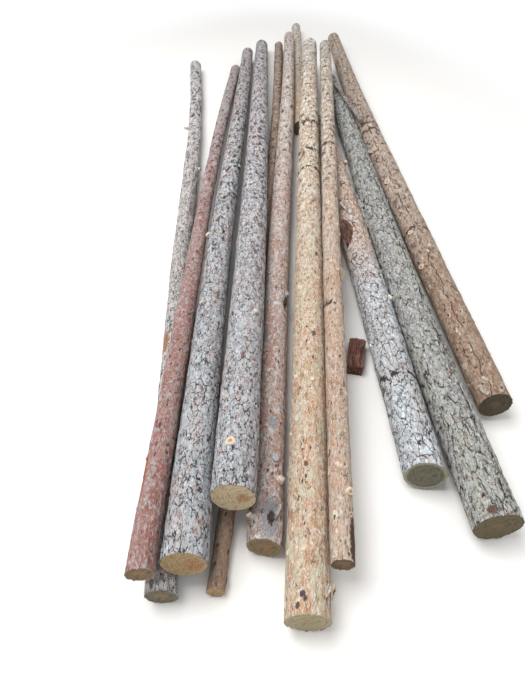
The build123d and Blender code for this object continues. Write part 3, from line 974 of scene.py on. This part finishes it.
grow_log(
    "long_orange_log",
    dict(FLAKY, skin=(0.36, 0.17, 0.08), pink=(0.48, 0.23, 0.12), pink_share=0.8,
         second=(0.46, 0.41, 0.26), zone_share=0.2, paper=(0.64, 0.57, 0.46), sheet=(0.009, 0.02),
         sheet_edge=0.02, pale=(0.8, 0.71, 0.57), fleck_share=0.08),
    dict(SAWN, early=(0.42, 0.37, 0.24), late=(0.25, 0.21, 0.13), stain=(0.17, 0.14, 0.08),
         heart_share=0.3, fray_share=0.8, fray=(0.7, 0.64, 0.52)), whorls=(3100, 2690, 2450),
    spots=[(52, -17, 20, 16, (0.1, 0.08, 0.1)), (23, -28, 18, 14, (0.14, 0.11, 0.12)),
           (454, -10, 22, 13, (0.22, 0.12, 0.07)), (411, -10, 16, 10, (0.2, 0.11, 0.07)),
           (1602, 28, 34, 15, (0.15, 0.11, 0.08)), (1058, 14, 34, 18, (0.2, 0.13, 0.11))],
    flaps=[(72, 70, 40, 20, 7, 10), (64, 44, 40, 16, 5, -25)], top_is_far=False, seed=10)
grow_log(
    "slim_orange_log",
    dict(FLAKY, skin=(0.4, 0.19, 0.11), base=(0.5, 0.33, 0.23), second=(0.46, 0.34, 0.24), slit_from=0.46,
         fleck_share=0.08, tint=(0.92, 1.04, 1.16), zone_share=0.25, pink_share=0.7),
    dict(SAWN, early=(0.18, 0.14, 0.09), late=(0.09, 0.07, 0.045), stain=(0.06, 0.045, 0.03)),
    knots=[(210, 30, 22, 14)], whorls=(1090, 2600),
    spots=[(60, 52, 170, 30, (0.09, 0.055, 0.045)), (1288, 52, 60, 22, (0.7, 0.55, 0.4))],
    flaps=[(1288, 52, 70, 20, 9, 8)], top_is_far=False, seed=11)


# The top log
# The last one put on, across the gap between the left grey log and the stubbed one.

grow_log(
    "top_log",
    dict(FURROWED, base=(0.44, 0.44, 0.455), second=(0.4, 0.33, 0.31), pale=(0.62, 0.63, 0.66),
         tint=(0.96, 1.0, 1.03), far=(0.56, 0.44, 0.43), far_from=0.35, far_over=0.4, zone_share=0.8),
    dict(SAWN, early=(0.66, 0.54, 0.37), late=(0.42, 0.31, 0.18), heart_at=(0.03, 0.002),
         heart_share=0.85, heart_colour=(0.36, 0.15, 0.065), stain=(0.24, 0.17, 0.095)),
    knots=[(800, 32, 18, 14), (154, -12, 30, 5)], whorls=(2600,), seed=12)


# The short pole and the split offcut
# Two scraps caught in the heap: a weathered stick across the right-hand logs, and a block of red
# wood that was split off a log and lies on the ground.

grow_log(
    "short_pole",
    dict(FURROWED, plate=(0.012, 0.03), depth=0.001, tint=(0.8, 0.75, 0.73), marks=(0.0, 1.2)), SAWN,
    seed=13)
for shape in list(bpy.data.collections["flake_shapes"].objects):
    bpy.data.objects.remove(shape)


def split_paint(name):
    """Red-brown split wood: long fibres with painted shade in the grooves between them, and paler
    splinters.
    """
    material, recipe = new_material(name)
    place = recipe.attribute("grain", 1)
    fibre = recipe.noise(place, (0.007, 0.12), 4)
    patch = recipe.noise(place, (0.03, 0.05), 3)
    splinter = recipe.noise(place, (0.003, 0.03), 3)
    # The near-black under the fibres is painted shade in the grooves.
    colour = recipe.layers(
        (0.035, 0.014, 0.012),
        (fibre.step(0.35, 0.62), (0.18, 0.075, 0.058)),
        (patch.step(0.5, 0.62) * 0.5, (0.22, 0.14, 0.13)),
        (splinter.step(0.58, 0.68) * 0.6, (0.36, 0.24, 0.2)))
    recipe.finish(colour, 0.95 - fibre * 0.2, fibre * 0.003 + splinter * 0.001, 0.8)
    return material


FIBRES = radians(12)  # between the fibres of the block and the Y axis
GROOVE_DEPTH = 0.003
CHIP_DEPTH = 0.002
JAG_SHARE = 0.05  # of its length, which the block's broken ends lack in places
LOW = 0.02  # below this height the block keeps the face that it lies on
HALF_WIDTH = 0.04

block = frame["nodes"]["split_offcut"].copy()
block.data = block.data.copy()
block.name = "split_offcut_wood"
block.data.materials.clear()
bpy.context.scene.collection.objects.link(block)
pick(block)
edit(lambda: bpy.ops.mesh.remove_doubles(threshold=0.0001),
     lambda: bpy.ops.mesh.subdivide(number_cuts=17))
co = places(block.data)
middle = (co.min(0) + co.max(0)) / 2
leans_left = (co[:, 0] - middle[0]) @ (co[:, 1] - middle[1]) < 0
run = np.array([sin(-FIBRES if leans_left else FIBRES), cos(FIBRES), 0])
over = np.cross(run, (0, 0, 1))
local = np.c_[(co - middle) @ over, (co - middle) @ run, co[:, 2]]
for index, (u, v, w) in enumerate(local):
    groove = noise.noise(Vector((u / 0.009, v / 0.15, w / 0.02 + 3)))
    chip = noise.noise(Vector((u / 0.02, v / 0.03, w / 0.02 + 9)))
    jag = abs(noise.noise(Vector((u / 0.006, 5, w / 0.008))))
    sunk = GROOVE_DEPTH * groove + CHIP_DEPTH * chip - GROOVE_DEPTH
    height = max(w + (sunk if w > LOW else 0), 0)
    local[index] = (u * (1 + sunk / HALF_WIDTH), v * (1 - JAG_SHARE * jag), height)
put(block.data, np.outer(local[:, 0], over) + np.outer(local[:, 1], run) + (middle[0], middle[1], 0)
    + np.outer(local[:, 2], (0, 0, 1)))
grain = block.data.attributes.new("grain", "FLOAT_VECTOR", "POINT")
grain.data.foreach_set("vector", np.ascontiguousarray(local + (0, 9, 0), dtype=np.float32).ravel())
block.data.materials.append(split_paint("split_wood"))
bpy.ops.object.shade_smooth_by_angle(angle=radians(45))
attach(block, "root")
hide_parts("split_offcut")


# The floor, the light and the camera
# A pale studio floor that keeps the stack's shadow, a white surround and one broad soft lamp overhead.

FLOOR_SIZE = 60
SHADOW_ENDS = (1.9, 0.9, 0)  # how soon the stack's shadow ends beside it and along it
FADE = (2.9, 4.2)  # from there to there the floor turns from matt to plain white
SKY = 0.75  # strength of the surround as a light
WHITE = (1, 1, 1)


def close_white(recipe, kind, plain, white, share=1.0):
    """End a floor or a surround: plain for the light, and white for the camera where share is 1."""
    seen = recipe.node("ShaderNodeLightPath", {}, {}, 0)
    recipe.close(kind, recipe.node("ShaderNodeMixShader", {}, {0: seen * share, 1: plain, 2: white}))


bpy.ops.mesh.primitive_plane_add(size=FLOOR_SIZE, location=(0, 0, 0))
floor = bpy.context.object
floor.name = "floor"
floor_paint, recipe = new_material("floor_paint")
here = recipe.vector("MULTIPLY", recipe.node("ShaderNodeTexCoord", {}, {}, 3), SHADOW_ENDS)
from_stack = recipe.vector("LENGTH", here, (0, 0, 0), 1)
matt = recipe.node("ShaderNodeBsdfPrincipled", {}, {"Base Color": (0.84, 0.83, 0.81), "Roughness": 0.9})
white = recipe.node("ShaderNodeEmission", {}, {"Color": WHITE})
close_white(recipe, "ShaderNodeOutputMaterial", matt, white, from_stack.step(*FADE))
floor.data.materials.append(floor_paint)

world = bpy.data.worlds.new("surround")
bpy.context.scene.world = world
world.use_nodes = True
world.node_tree.nodes.clear()
recipe = Recipe(world.node_tree)
soft, white = (recipe.node("ShaderNodeBackground", {}, {"Color": WHITE, "Strength": strength})
               for strength in (SKY, 1.0))
close_white(recipe, "ShaderNodeOutputWorld", soft, white)

LAMP_SIZE = 5.0
LAMP_WATTS = 420
LAMP_PLACE = (-2.5, -1.5, 6.0)
LAMP_TILT = (radians(-14), radians(-22), 0)
lamp_data = bpy.data.lights.new("overhead", "AREA")
lamp_data.shape = "DISK"
lamp_data.size = LAMP_SIZE
lamp_data.energy = LAMP_WATTS
lamp = add("overhead", lamp_data)
lamp.location = LAMP_PLACE
lamp.rotation_euler = LAMP_TILT

EYE_HEIGHT = 1.6
EYE_BEHIND = 0.499  # behind the foremost sawn end
EYE_LEFT = 0.1257  # of the middle of the stack
EYE_TILT = radians(45.5)  # up from straight down
LENS = 27.04  # in the camera's millimetres
camera_data = bpy.data.cameras.new("camera")
camera_data.lens = LENS
camera = add("camera", camera_data)
camera.location = (-EYE_LEFT, cad_box[0][1] - EYE_BEHIND, EYE_HEIGHT)
camera.rotation_euler = (EYE_TILT, 0, 0)
bpy.context.scene.camera = camera
bpy.context.scene.view_settings.view_transform = "Standard"
